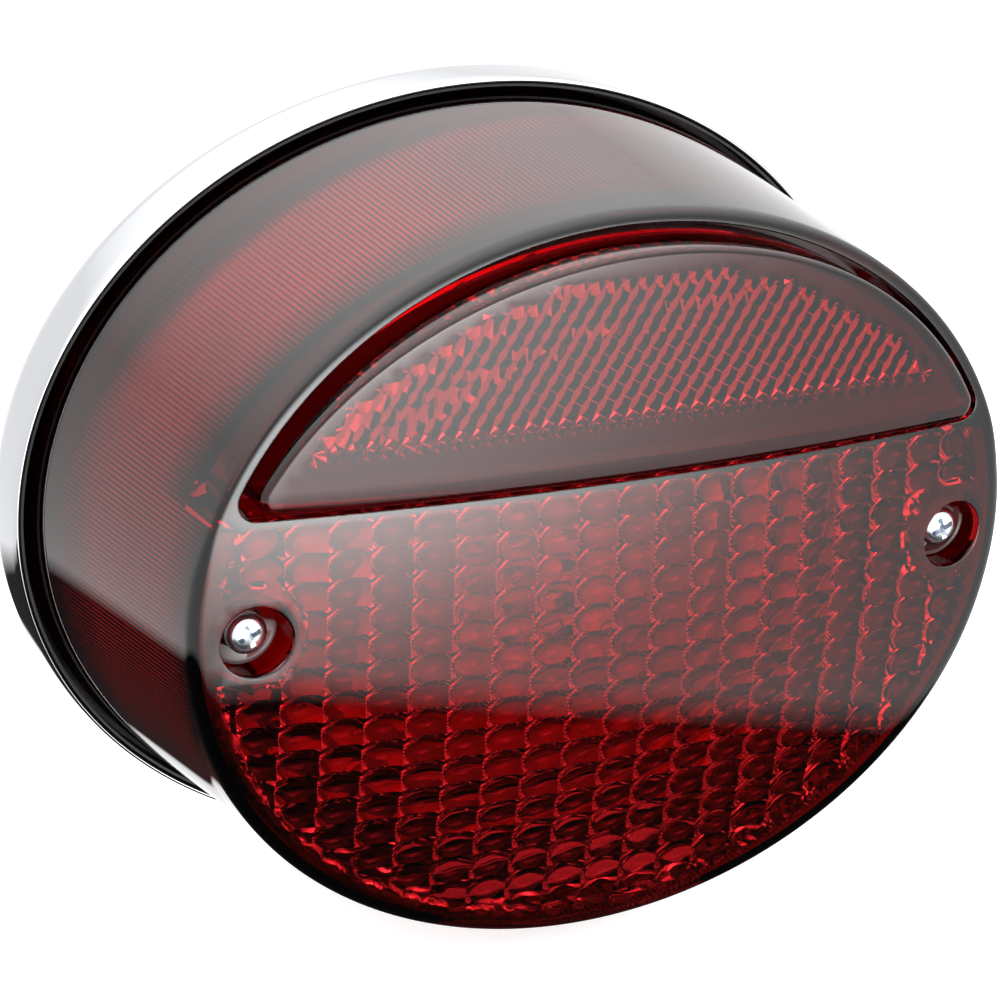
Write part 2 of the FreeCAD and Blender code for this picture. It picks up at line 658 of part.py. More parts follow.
def socket_contacts():
    """Two brass rivets through the disc."""
    rivets = []
    for side in (-1, 1):
        x = side * CONTACT_X
        head = rod(1.9, CONTACT_Y + FIT_GAP, DISC_FRONT - FIT_GAP, x)
        shank = rod(1.05, CONTACT_Y + 0.5, DISC_BACK + 0.8, x)
        rivets.append(head.fuse(shank).removeSplitter())
    return about_bulb(group(rivets))


def socket_spring():
    """Coil spring that presses the disc against the bulb."""
    wire_r = 0.35
    start = DISC_BACK + wire_r + FIT_GAP
    length = SOCKET_BACK - 0.9 - wire_r - FIT_GAP - start
    path = Part.makeHelix(length / 3, length, 6.2)
    section = Part.Wire(Part.Circle(V(6.2, 0, 0), V(0, 1, 0), wire_r).toShape())
    coil = Part.Wire(path.Edges).makePipeShell([section], True, True)
    coil.rotate(V(0, 0, 0), V(1, 0, 0), -90)
    coil.translate(V(0, start, 0))
    return about_bulb(coil)


# ---- Build --------------------------------------------------------------------------
NODES = {
    "lens_shell": lens_shell(),
    "licence_window": licence_window(),
    "reflex_reflector": reflex_reflector(),
    "reflex_back_plate": reflex_back_plate(),
    "left_lens_screw": lens_screw(-1),
    "right_lens_screw": lens_screw(1),
    "left_screw_seal": screw_seal(-1),
    "right_screw_seal": screw_seal(1),
    "left_threaded_insert": threaded_insert(-1),
    "right_threaded_insert": threaded_insert(1),
    "chrome_base": chrome_base(),
    "base_bosses": base_bosses(),
    "base_gasket": base_gasket(),
    "mounting_studs": mounting_studs(),
    "back_pad": back_pad(),
    "wire_grommet": wire_grommet(),
    "drain_plug": drain_plug(),
    "inner_housing": inner_housing(),
    "housing_screws": housing_screws(),
    "reflector_bowl": reflector_bowl(),
    "reflector_screws": reflector_screws(),
    "bulb_glass": bulb_glass(),
    "bulb_stem": bulb_stem(),
    "bulb_filaments": bulb_filaments(),
    "bulb_cap": bulb_cap(),
    "bulb_insulator": bulb_insulator(),
    "bulb_contacts": bulb_contacts(),
    "bulb_socket": bulb_socket(),
    "socket_disc": socket_disc(),
    "socket_contacts": socket_contacts(),
    "socket_spring": socket_spring(),
}

for node_name, node_shape in NODES.items():
    export(node_name, node_shape)
    print(node_name, len(node_shape.Solids), round(node_shape.Volume / 1000, 2), node_shape.BoundBox)
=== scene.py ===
"""Looks of an oval motorcycle tail light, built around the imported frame.

Lengths are worked out in millimetres and turned into metres where a mesh is made.
"""
import bmesh
import bpy
import math
import numpy as np
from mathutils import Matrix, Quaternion, Vector
from mathutils.geometry import delaunay_2d_cdt


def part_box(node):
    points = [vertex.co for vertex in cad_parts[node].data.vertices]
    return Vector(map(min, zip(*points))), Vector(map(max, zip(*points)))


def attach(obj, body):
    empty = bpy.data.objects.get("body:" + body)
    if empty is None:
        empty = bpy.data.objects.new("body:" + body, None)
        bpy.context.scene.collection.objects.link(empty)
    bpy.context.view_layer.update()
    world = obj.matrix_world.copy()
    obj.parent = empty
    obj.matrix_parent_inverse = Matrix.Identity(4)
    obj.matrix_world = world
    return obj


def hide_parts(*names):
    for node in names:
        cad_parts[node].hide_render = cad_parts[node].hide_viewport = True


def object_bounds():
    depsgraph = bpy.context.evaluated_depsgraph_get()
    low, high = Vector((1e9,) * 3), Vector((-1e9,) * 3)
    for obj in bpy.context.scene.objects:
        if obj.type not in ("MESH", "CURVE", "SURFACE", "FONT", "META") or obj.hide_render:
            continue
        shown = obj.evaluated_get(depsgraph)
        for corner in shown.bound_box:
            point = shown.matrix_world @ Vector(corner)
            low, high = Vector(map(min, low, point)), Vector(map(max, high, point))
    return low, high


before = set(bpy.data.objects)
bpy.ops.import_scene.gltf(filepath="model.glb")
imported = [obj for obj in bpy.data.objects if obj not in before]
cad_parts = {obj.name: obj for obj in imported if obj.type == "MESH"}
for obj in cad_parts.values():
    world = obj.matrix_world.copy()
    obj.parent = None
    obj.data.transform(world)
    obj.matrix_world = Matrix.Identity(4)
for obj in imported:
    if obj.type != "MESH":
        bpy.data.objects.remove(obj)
cad_low, cad_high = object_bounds()
MM = 0.001


def node_box(node):
    """Lowest and highest corners of a node, in millimetres."""
    low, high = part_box(node)
    return np.array(low) / MM, np.array(high) / MM


# ---- Places read from the frame, and the few sizes its boxes don't hold ---------------
LENS_LOW, LENS_HIGH = node_box("lens_shell")
BASE_LOW, BASE_HIGH = node_box("chrome_base")
SEAL_LOW, SEAL_HIGH = node_box("right_screw_seal")
WINDOW_LOW, WINDOW_HIGH = node_box("licence_window")
CROWN = LENS_LOW[1]
SKIRT_END = LENS_HIGH[1]
RIM_LIP = BASE_LOW[1]
BASE_BACK = BASE_HIGH[1]
SCREW_X = (SEAL_LOW[0] + SEAL_HIGH[0]) / 2
CLEARANCE = 0.05
SCREW_SEAT = 3.5
POCKET_FLOOR = SEAL_HIGH[1] + CLEARANCE
POCKET_END = POCKET_FLOOR + SCREW_SEAT
REFLEX_FRONT = node_box("reflex_reflector")[0][1]

# Half axes and centre of the face, of the wall's two ends, and the dome's drop at its sides.
FACE_A = 80.0
FACE_B = 67.8
FACE_Z = 0.2
TOP_Z = 68.0
FRONT_A = FACE_A + 0.4
FRONT_B = FACE_B - 1.5
FRONT_Z = FACE_Z + 1.5
REAR_A = 84.8
REAR_B = 71.4
SAG_X = 6.4
SAG_Z = 7.6
FACE_EDGE = CROWN + SAG_X + 0.6
WALL = 2.5

# Crescent recess with its cup, the gaps round the reflector, and the screw pockets.
RECESS_A = 78.5
RECESS_B = 65.4
RECESS_DEPTH = 13.0
CHORD_Z = 21.8
CRESCENT_CORNER = 3.0
CUP_WALL = 2.0
CUP_FLOOR = 2.2
REFLEX_GAP = 1.7
CHORD_GAP = 1.4
SCREW_HOLE_R = 2.3
POCKET_R = 6.3
BOSS_R = 8.0


# ---- Curves ---------------------------------------------------------------------------
def turn(count):
    """Angles once round."""
    return np.arange(count) * (2 * math.pi / count)


def smooth_step(value, low, high):
    """0 below low, 1 above high, with a soft change between."""
    share = np.clip((value - low) / (high - low), 0.0, 1.0)
    return share * share * (3 - 2 * share)


def circle(radius, count, x=0.0, z=0.0):
    """Loop of (x, z) points."""
    t = turn(count)
    return np.stack([x + radius * np.cos(t), z + radius * np.sin(t)], 1)


def oval(a, b, count, z=0.0, inset=0.0):
    """Elliptic loop, moved inwards along its own normal by inset."""
    t = turn(count)
    normal = np.stack([np.cos(t) / a, np.sin(t) / b], 1)
    normal /= np.linalg.norm(normal, axis=1)[:, None]
    return np.stack([a * np.cos(t), z + b * np.sin(t)], 1) - inset * normal


def loop_normals(loop):
    """Outward normals of an anticlockwise (x, z) loop."""
    along = np.roll(loop, -1, 0) - np.roll(loop, 1, 0)
    normal = np.stack([along[:, 1], -along[:, 0]], 1)
    return normal / np.linalg.norm(normal, axis=1)[:, None]


def even_loop(points, count):
    """Closed loop through the points, resampled at even steps."""
    closed = np.vstack([points, points[:1]])
    steps = np.linalg.norm(np.diff(closed, axis=0), axis=1)
    length = np.concatenate([[0], np.cumsum(steps)])
    wanted = np.arange(count) * (length[-1] / count)
    return np.stack([np.interp(wanted, length, closed[:, k]) for k in (0, 1)], 1)


def crescent(a, b, chord, corner, count):
    """Oval above a level chord, with rounded lower corners."""
    fine = oval(a, b, 7200, FACE_Z)
    level = chord + corner
    low, high = a * 0.5, a
    for _ in range(40):
        middle = (low + high) / 2
        gap = np.min(np.hypot(fine[:, 0] - middle, fine[:, 1] - level))
        if gap > corner and (middle / a) ** 2 + ((level - FACE_Z) / b) ** 2 < 1:
            low = middle
        else:
            high = middle
    centre = np.array([low, level])
    touch = fine[np.argmin(np.hypot(fine[:, 0] - low, fine[:, 1] - level))]
    start = -math.pi / 2
    end = math.atan2(touch[1] - level, touch[0] - low)
    bend = np.linspace(start, end, 12)
    right = centre + corner * np.stack([np.cos(bend), np.sin(bend)], 1)
    arc = fine[(fine[:, 1] > touch[1]) & (fine[:, 1] > level)]
    left = right[::-1] * np.array([-1, 1])
    return even_loop(np.vstack([right, arc, left]), count)


# ---- Surfaces of the lens -------------------------------------------------------------
BAND_SOFTNESS = 0.0015


def dome(x, z, inset=0.0):
    """Y of the domed face."""
    return CROWN + inset + SAG_X * (x / FACE_A) ** 2 + SAG_Z * (z / FACE_B) ** 2


def reflex_front(x, offset=0.0):
    """Y of the reflector's upright curved front."""
    return REFLEX_FRONT + offset + SAG_X * (x / FACE_A) ** 2


def wall_points(t, y, inset=0.0):
    """(x, y, z) on the lens wall: a tapered oval, with a straight band low down at the front."""
    share = (RIM_LIP - y) / (RIM_LIP - FACE_EDGE)
    a = REAR_A + share * (FRONT_A - REAR_A) - inset
    b = REAR_B + share * (FRONT_B - REAR_B) - inset
    x = a * np.cos(t)
    z = share * FRONT_Z + b * np.sin(t)
    reach = np.hypot(x / (FACE_A - inset), (z - FACE_Z) / (FACE_B - inset))
    soft = BAND_SOFTNESS * smooth_step(-z, 8, 14)
    grow = (1 + 1 / reach + np.sqrt((1 / reach - 1) ** 2 + soft ** 2)) / 2
    grow = np.where(z < 0, grow, 1.0)
    return np.stack([x * grow, y + 0 * x, FACE_Z + (z - FACE_Z) * grow], 1)


def wall_at_dome(t, inset=0.0):
    """Points where the wall would meet the domed face."""
    y = np.full(len(t), FACE_EDGE)
    for _ in range(8):
        points = wall_points(t, y, inset)
        y = dome(points[:, 0], points[:, 2], inset)
    return wall_points(t, y, inset)


PILLOW_X = 7.6
PILLOW_Z = 5.2
PILLOW_SQUASH = 1.3
PILLOW_CURVE = 0.0165
PILLOW_START = (-48.3, 9.2)
PILLOW_EDGE = (0.955, 0.975)
PILLOW_CLEAR = (9.2, 10.2)
CUP_LEVEL = CHORD_Z - CUP_WALL


def lens_inside(x, z):
    """Y of the inside of the face: pillow optics below the crescent, the back of its cup above."""
    half_x, half_z = PILLOW_X / 2, PILLOW_Z / 2
    u = (x - PILLOW_START[0]) % PILLOW_X - half_x
    v = (z - PILLOW_START[1]) % PILLOW_Z - half_z
    reach = np.hypot(x / (FACE_A - WALL), (z - FACE_Z) / (FACE_B - WALL))
    shown = 1 - smooth_step(reach, *PILLOW_EDGE)
    shown = shown * smooth_step(np.hypot(np.abs(x) - SCREW_X, z), *PILLOW_CLEAR)
    corner = math.hypot(half_x, PILLOW_SQUASH * half_z)
    away = np.hypot(u, PILLOW_SQUASH * v)
    pillow = PILLOW_CURVE * (corner ** 3 - away ** 3) * shown
    face = dome(x, z, WALL) + pillow
    cup = reflex_front(x, RECESS_DEPTH + CUP_FLOOR)
    return np.where(z > CUP_LEVEL, cup, face)


# ---- Mesh builder ---------------------------------------------------------------------
class Surface:
    """Collects points and faces, loop by loop."""

    def __init__(self):
        self.points = []
        self.faces = []

    def add(self, loop, y):
        """Adds a loop of (x, z) points at y and returns its indices."""
        return self.add_points(np.stack([loop[:, 0], y + 0 * loop[:, 0], loop[:, 1]], 1))

    def add_points(self, points):
        """Adds (x, y, z) points and returns their indices."""
        start = len(self.points)
        self.points += [tuple(p) for p in points]
        return np.arange(start, start + len(points))

    def strip(self, one, two):
        """Joins two closed loops; the second may have a whole multiple of the first's points."""
        times = len(two) // len(one)
        count = len(one)
        for i in range(count):
            here, there = one[i], one[(i + 1) % count]
            fan = [two[(i * times + k) % len(two)] for k in range(times + 1)]
            if times == 1:
                self.faces.append((here, there, fan[1], fan[0]))
                continue
            middle = times // 2
            for k in range(times):
                self.faces.append((here if k < middle else there, fan[k + 1], fan[k]))
            self.faces.append((here, there, fan[middle]))

    def sweep(self, loops):
        """Adds strips through a row of loops."""
        for one, two in zip(loops, loops[1:]):
            self.strip(one, two)

    def fill(self, outer, holes, extra=(), height=None):
        """Triangles between an outer loop and holes, with extra (x, z) points inside."""
        rings = [np.array(r) for r in [outer] + list(holes)]
        flat = [Vector((self.points[i][0], self.points[i][2])) for r in rings for i in r]
        index = [i for r in rings for i in r]
        edges = []
        start = 0
        for ring in rings:
            edges += [(start + k, start + (k + 1) % len(ring)) for k in range(len(ring))]
            start += len(ring)
        if len(extra):
            index += list(self.add_points(np.stack([extra[:, 0], height, extra[:, 1]], 1)))
            flat += [Vector(p) for p in extra]
        _, _, triangles, source, _, _ = delaunay_2d_cdt(flat, edges, [], 1, 1e-9)
        triangles = np.array(triangles)
        flat = np.array(flat)
        centres = flat[np.array([s[0] for s in source])][triangles].mean(1)
        keep = np.ones(len(triangles), bool)
        for ring in rings[1:]:
            keep &= ~inside(centres, np.array([(self.points[i][0], self.points[i][2]) for i in ring]))
        for triangle in triangles[keep]:
            self.faces.append(tuple(index[source[k][0]] for k in triangle))


def inside(points, loop):
    """Which (x, z) points lie inside a loop."""
    result = np.zeros(len(points), bool)
    following = np.roll(loop, -1, 0)
    for (x0, z0), (x1, z1) in zip(loop, following):
        if z0 == z1:
            continue
        crosses = (z0 > points[:, 1]) != (z1 > points[:, 1])
        at = x0 + (points[:, 1] - z0) * (x1 - x0) / (z1 - z0)
        result ^= crosses & (points[:, 0] < at)
    return result


def grid(step_x, step_z, low, high, origin=(0.0, 0.0)):
    """Even grid of (x, z) points that passes through origin."""
    x0, z0 = origin
    columns = x0 + step_x * np.arange(math.ceil((low[0] - x0) / step_x), (high[0] - x0) / step_x)
    rows = z0 + step_z * np.arange(math.ceil((low[1] - z0) / step_z), (high[1] - z0) / step_z)
    xs, zs = np.meshgrid(columns, rows)
    return np.stack([xs.ravel(), zs.ravel()], 1)


def piece(name, surface, body, material, nodes=(), sharp=35):
    """Turns a surface into an object that rides on a body and stands for CAD nodes."""
    mesh = bpy.data.meshes.new(name)
    points = np.array(surface.points) * MM
    mesh.from_pydata([tuple(p) for p in points], [], [tuple(int(i) for i in f) for f in surface.faces])
    shape = bmesh.new()
    shape.from_mesh(mesh)
    loose = [v for v in shape.verts if not v.link_faces]
    bmesh.ops.delete(shape, geom=loose, context="VERTS")
    bmesh.ops.recalc_face_normals(shape, faces=shape.faces)
    shape.to_mesh(mesh)
    shape.free()
    mesh.shade_smooth()
    mesh.set_sharp_from_angle(angle=math.radians(sharp))
    result = bpy.data.objects.new(name, mesh)
    bpy.context.scene.collection.objects.link(result)
    mesh.materials.append(material)
    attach(result, body)
    if nodes:
        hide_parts(*nodes)
    return result


# ---- Lens -----------------------------------------------------------------------------
def rounded_edge(surface, wall_loop, corner, face_loop, steps):
    """Loops of a soft edge between the wall and the face."""
    loops = []
    for k in range(1, steps + 1):
        s = k / steps
        points = (1 - s) ** 2 * wall_loop + 2 * s * (1 - s) * corner + s ** 2 * face_loop
        loops.append(surface.add_points(points))
    return loops


def lip_rows(surface, loop, radius, floor, steps=5):
    """Loops from the face round a soft lip and down to floor (a Y for each point)."""
    normal = loop_normals(loop)
    rows = []
    for k in range(steps + 1):
        bend = k / steps * math.pi / 2
        ring = loop + normal * radius * (1 - math.sin(bend))
        rows.append(surface.add(ring, dome(ring[:, 0], ring[:, 1]) + radius * (1 - math.cos(bend))))
    top = dome(loop[:, 0], loop[:, 1]) + radius
    for share in (0.33, 0.67, 1.0):
        rows.append(surface.add(loop, top + share * (floor - top)))
    return rows


EDGE_ROUND = 2.2
EDGE_SHARE = 0.985
CUP_EDGE = 1.1
CUP_EDGE_TOP = 0.7
LIP_ROUND = 0.35
RIB_DEPTH = 0.36
RIB_START = 8.0
RIB_COUNT = 480
WALL_STEPS = 60


def lens_outside(lens):
    """Skirt, wall and soft front edge. Returns the rear loop, the face's loop and its points."""
    t = turn(RIB_COUNT)
    corner = wall_at_dome(t)
    near_cup = smooth_step(corner[:, 2], 10, 22)
    radius = EDGE_ROUND * (1 - near_cup) + (CUP_EDGE + CUP_EDGE_TOP * np.sin(t) ** 2) * near_cup
    wall_front = corner[:, 1] + radius
    rows = [lens.add_points(wall_points(t, SKIRT_END))]
    for share in np.linspace(0, 1, WALL_STEPS + 1):
        rows.append(lens.add_points(wall_points(t, RIM_LIP + share * (wall_front - RIM_LIP))))
    normal = loop_normals(corner[:, [0, 2]])
    face = corner[:, [0, 2]] - normal * radius[:, None]
    face_points = np.stack([face[:, 0], dome(face[:, 0], face[:, 1]), face[:, 1]], 1)
    rows += rounded_edge(lens, wall_points(t, wall_front), corner, face_points, 6)
    lens.sweep(rows)
    return rows[0], rows[-1], face


def lens_recess(lens):
    """Crescent recess with a soft lip. Returns its loop on the face and its outline."""
    recess = crescent(RECESS_A, RECESS_B, CHORD_Z, CRESCENT_CORNER, 320)
    rows = lip_rows(lens, recess, LIP_ROUND, reflex_front(recess[:, 0], RECESS_DEPTH))
    lens.sweep(rows)
    spots = grid(4, 4, (-FACE_A, CHORD_Z), (FACE_A, TOP_Z + 2))
    spots = spots[inside(spots, recess * EDGE_SHARE + np.array([0, 0.4]))]
    lens.fill(rows[-1], [], spots, reflex_front(spots[:, 0], RECESS_DEPTH))
    return rows[0], recess


def lens_pocket(lens, x):
    """Screw pocket, its hole and the boss behind it. Returns its loops on the face and inside."""
    pocket = circle(POCKET_R, 64, x)
    rows = lip_rows(lens, pocket, LIP_ROUND, np.full(64, POCKET_FLOOR - 0.3))
    rows.append(lens.add(circle(POCKET_R - 0.6, 64, x), POCKET_FLOOR))
    rows.append(lens.add(circle(SCREW_HOLE_R, 64, x), POCKET_FLOOR))
    rows.append(lens.add(circle(SCREW_HOLE_R, 64, x), POCKET_END))
    boss = circle(BOSS_R, 64, x)
    rows.append(lens.add(boss, POCKET_END))
    rows.append(lens.add(boss, dome(boss[:, 0], boss[:, 1], WALL)))
    lens.sweep(rows)
    return rows[0], rows[-1]


def from_screws(spots):
    """Distance of (x, z) points from the nearer screw."""
    return np.hypot(np.abs(spots[:, 0]) - SCREW_X, spots[:, 1])


def lens_face(lens, face_loop, face, openings, recess):
    """Domed face round the recess and the screw pockets."""
    spots = grid(2.5, 2.5, (-FACE_A, -TOP_Z), (FACE_A, TOP_Z))
    spots = spots[inside(spots, face * EDGE_SHARE)]
    spots = spots[~inside(spots, recess + loop_normals(recess) * (LIP_ROUND + 0.8))]
    spots = spots[from_screws(spots) > POCKET_R + LIP_ROUND + 0.6]
    lens.fill(face_loop, openings, spots, dome(spots[:, 0], spots[:, 1]))


def lens_lining(lens, bosses):
    """Inside of the face, then of the fluted wall. Returns the loop at the skirt's end."""
    fine = turn(4 * RIB_COUNT)
    border = wall_at_dome(fine, WALL)
    for _ in range(4):
        border = wall_points(fine, lens_inside(border[:, 0], border[:, 2]), WALL)
    flat = border[:, [0, 2]]
    y_front = lens_inside(flat[:, 0], flat[:, 1])
    rows = [lens.add(flat, y_front)]
    low, high = (-FACE_A, -TOP_Z), (FACE_A, CUP_LEVEL - 0.1)
    spots = grid(PILLOW_X / 8, PILLOW_Z / 6, low, high, PILLOW_START)
    spots = np.vstack([spots, grid(3, 3, (-FACE_A, CUP_LEVEL + 0.9), (FACE_A, TOP_Z))])
    spots = spots[inside(spots, flat * 0.992)]
    spots = spots[from_screws(spots) > BOSS_R + 0.4]
    lens.fill(rows[0], bosses, spots, lens_inside(spots[:, 0], spots[:, 1]))
    rib = RIB_DEPTH * np.array([0, 0.75, 1, 0.75] * RIB_COUNT)
    y_plain = RIM_LIP - RIB_START
    for share in (0.03, 0.25, 0.5, 0.75, 0.98):
        y = y_front + share * (y_plain - y_front)
        rows.append(lens.add_points(wall_points(fine, y, WALL + rib)))
    for y in (y_plain, RIM_LIP, SKIRT_END):
        rows.append(lens.add_points(wall_points(fine, y, WALL)))
    lens.sweep(rows)
    return rows[-1]


def lens_mesh():
    """Smoked lens as one closed surface."""
    lens = Surface()
    outer_rear, face_loop, face = lens_outside(lens)
    recess_loop, recess = lens_recess(lens)
    left_mouth, left_boss = lens_pocket(lens, -SCREW_X)
    right_mouth, right_boss = lens_pocket(lens, SCREW_X)
    lens_face(lens, face_loop, face, [recess_loop, left_mouth, right_mouth], recess)
    inner_rear = lens_lining(lens, [left_boss, right_boss])
    lens.strip(outer_rear, inner_rear)
    return lens


# ---- Reflector ------------------------------------------------------------------------
CUBE_STEP = 1.85
CUBE_LEVEL = CUBE_STEP * 0.7071
PRISM_DEPTH = 6.5
PRISM_FLAT = 0.2
REFLEX_DEPTH = 10.9
REFLEX_ROUND = 1.2
REFLEX_RIM = 2.0
FIELD_INSET = 5.0
FIELD_START = CHORD_Z + 10.5


def prism_base(x):
    """Y of the plane that the prisms stand on, flatter than the reflector's front."""
    return REFLEX_FRONT + PRISM_DEPTH + PRISM_FLAT * SAG_X * (x / FACE_A) ** 2


def cube_lattice(low, high):
    """Lattice points of a field of cube corners, with the level (0, 1 or 2) of each."""
    one = CUBE_STEP * np.array([math.cos(math.radians(30)), math.sin(math.radians(30))])
    two = CUBE_STEP * np.array([0.0, 1.0])
    i, j = np.meshgrid(np.arange(-60, 61), np.arange(-90, 91))
    points = i.ravel()[:, None] * one + j.ravel()[:, None] * two
    level = (i.ravel() - j.ravel()) % 3
    near = np.all((points > low) & (points < high), 1)
    return points[near], level[near]


def reflector_mesh():
    """Red reflector: rounded front, side wall, and a back moulded with cube corners."""
    body = Surface()
    a, b = RECESS_A - REFLEX_GAP, RECESS_B - REFLEX_GAP
    outline = crescent(a, b, CHORD_Z + CHORD_GAP, CRESCENT_CORNER, 300)
    normal = loop_normals(outline)
    rows = []
    for k in range(7):
        bend = k / 6 * math.pi / 2
        ring = outline - normal * REFLEX_ROUND * (1 - math.sin(bend))
        rows.append(body.add(ring, reflex_front(ring[:, 0], REFLEX_ROUND * (1 - math.cos(bend)))))
    for depth in (4.0, 7.5, REFLEX_DEPTH):
        rows.append(body.add(outline, reflex_front(outline[:, 0], depth)))
    inner = outline - normal * REFLEX_RIM
    rows.append(body.add(inner, reflex_front(inner[:, 0], REFLEX_DEPTH)))
    rows.append(body.add(inner, prism_base(inner[:, 0])))
    body.sweep(rows)
    spots = grid(2.5, 2.5, (-FACE_A, CHORD_Z), (FACE_A, TOP_Z))
    spots = spots[inside(spots, inner)]
    body.fill(rows[0], [], spots, reflex_front(spots[:, 0]))
    points, level = cube_lattice((-FACE_A, CHORD_Z), (FACE_A, TOP_Z))
    keep = inside(points, inner - normal * 0.5)
    points, level = points[keep], level[keep]
    across = points[:, 0] / (a - FIELD_INSET)
    up = (points[:, 1] - FACE_Z) / (b - FIELD_INSET)
    field = (across ** 2 + up ** 2 < 1) & (points[:, 1] > FIELD_START)
    height = prism_base(points[:, 0]) + np.where(field, level * CUBE_LEVEL, 0)
    body.fill(rows[-1], [], points, height)
    return body


# ---- Lens screws ----------------------------------------------------------------------
HEAD_R = 3.7
HEAD_H = 2.6
SHANK_R = 1.95
THREAD_PITCH = 0.7
THREAD_DEPTH = 0.3
POINT_LENGTH = 1.2
CROSS_REACH = 2.25
CROSS_TURN = 22


def screw_mesh(x, low, high):
    """Plated pan head screw: a low crowned head, a shank with thread ridges and a point."""
    screw = Surface()
    top, tip = low[1], high[1]
    under = top + HEAD_H
    profile = [(0.0, top), (0.7, top + 0.01), (1.5, top + 0.07), (2.3, top + 0.2), (2.9, top + 0.42),
               (3.35, top + 0.78), (3.62, top + 1.25), (HEAD_R, top + 1.8), (HEAD_R - 0.05, under - 0.12),
               (HEAD_R - 0.2, under), (SHANK_R, under)]
    for k in range(int((tip - POINT_LENGTH - under - 1) / THREAD_PITCH)):
        start = under + 1 + k * THREAD_PITCH
        profile += [(SHANK_R - THREAD_DEPTH, start), (SHANK_R, start + THREAD_PITCH / 2)]
    profile += [(SHANK_R - THREAD_DEPTH, tip - 1.1), (SHANK_R - 0.8, tip)]
    rows = [screw.add(circle(max(r, 0.02), 48, x), y) for r, y in profile]
    screw.sweep(rows)
    screw.faces.append(tuple(rows[0]))
    screw.faces.append(tuple(rows[-1]))
    return screw


def cross_cutter(x, top):
    """Tapered cross that a screwdriver's tip fits."""
    cross = Surface()
    loops = []
    for depth, reach, half in ((-0.5, CROSS_REACH, 0.55), (0.1, CROSS_REACH, 0.5), (1.9, 0.75, 0.3)):
        arm = [(reach, -half), (reach, half), (half, half)]
        points = []
        for quarter in range(4):
            turned = math.radians(90 * quarter + CROSS_TURN)
            for u, v in arm:
                points.append((x + u * math.cos(turned) - v * math.sin(turned),
                               u * math.sin(turned) + v * math.cos(turned)))
        loops.append(cross.add(np.array(points), top + depth))
    cross.sweep(loops)
    cross.faces.append(tuple(loops[0]))
    cross.faces.append(tuple(loops[-1]))
    return cross


# ---- Chrome base ----------------------------------------------------------------------
STUD_HOLE_R = 3.45
SHEET = 0.8
BACK_ROUND = 8.0
FLAT_START = 13.0


def base_holes():
    """Place and radius of each hole in the base's floor."""
    holes = []
    studs_low, studs_high = node_box("mounting_studs")
    head = (studs_high[2] - studs_low[2]) / 2
    for x in (studs_low[0] + head, studs_high[0] - head):
        holes.append((x, 0.0, STUD_HOLE_R))
    for node, radius in (("wire_grommet", 6.5), ("drain_plug", 3.0)):
        low, high = node_box(node)
        holes.append(((low[0] + high[0]) / 2, (low[2] + high[2]) / 2, radius))
    return holes


def base_mesh():
    """Pressed dish with a rolled lip and a rounded back edge."""
    a, b = BASE_HIGH[0], BASE_HIGH[2]
    lip = SHEET / 2
    profile = [(SHEET, RIM_LIP + lip + 0.1)]
    for k in range(9):
        bend = k / 8 * math.pi
        profile.append((lip * (1 + math.cos(bend)), RIM_LIP + lip - lip * math.sin(bend)))
    profile += [(0.0, RIM_LIP + 3), (0.0, BASE_BACK - BACK_ROUND)]
    for k in range(1, 13):
        bend = k / 12 * math.pi / 2
        profile.append((BACK_ROUND * (1 - math.cos(bend)), BASE_BACK - BACK_ROUND * (1 - math.sin(bend))))
    profile.append((FLAT_START, BASE_BACK))
    front = BASE_BACK - SHEET
    inner = [(FLAT_START, front)]
    inner_round = BACK_ROUND - SHEET
    for k in range(12, -1, -1):
        bend = k / 12 * math.pi / 2
        inner.append((SHEET + inner_round * (1 - math.cos(bend)),
                      front - inner_round * (1 - math.sin(bend))))
    dish = Surface()
    loops = [dish.add(oval(a, b, 360, 0.0, d), y) for d, y in inner + profile]
    dish.sweep(loops)
    spots = grid(9, 9, (-a, -b), (a, b))
    spots = spots[inside(spots, oval(a, b, 90, 0.0, FLAT_START + 3))]
    fronts, backs = [], []
    for x, z, radius in base_holes():
        ring = circle(radius, 40, x, z)
        fronts.append(dish.add(ring, front))
        backs.append(dish.add(ring, BASE_BACK))
        dish.strip(fronts[-1], backs[-1])
        spots = spots[np.hypot(spots[:, 0] - x, spots[:, 1] - z) > radius + 3]
    dish.fill(loops[0], fronts, spots, np.full(len(spots), front))
    dish.fill(loops[-1], backs, spots, np.full(len(spots), BASE_BACK))
    return dish


# ---- Materials ------------------------------------------------------------------------
def principled(name, color, roughness, metallic=0.0, **sockets):
    """Material with its Principled shader and node tree."""
    material = bpy.data.materials.new(name)
    material.use_nodes = True
    shader = material.node_tree.nodes["Principled BSDF"]
    shader.inputs["Base Color"].default_value = (*color, 1.0)
    shader.inputs["Roughness"].default_value = roughness
    shader.inputs["Metallic"].default_value = metallic
    for socket, value in sockets.items():
        shader.inputs[socket.replace("_", " ")].default_value = value
    return material, shader


def noise(material, scale, detail=3.0, stretch=(1, 1, 1)):
    """Noise over the object's own coordinates, in metres."""
    tree = material.node_tree
    place = tree.nodes.new("ShaderNodeTexCoord")
    mapping = tree.nodes.new("ShaderNodeMapping")
    mapping.inputs["Scale"].default_value = stretch
    texture = tree.nodes.new("ShaderNodeTexNoise")
    texture.inputs["Scale"].default_value = scale
    texture.inputs["Detail"].default_value = detail
    tree.links.new(place.outputs["Object"], mapping.inputs["Vector"])
    tree.links.new(mapping.outputs["Vector"], texture.inputs["Vector"])
    return texture.outputs["Fac"]


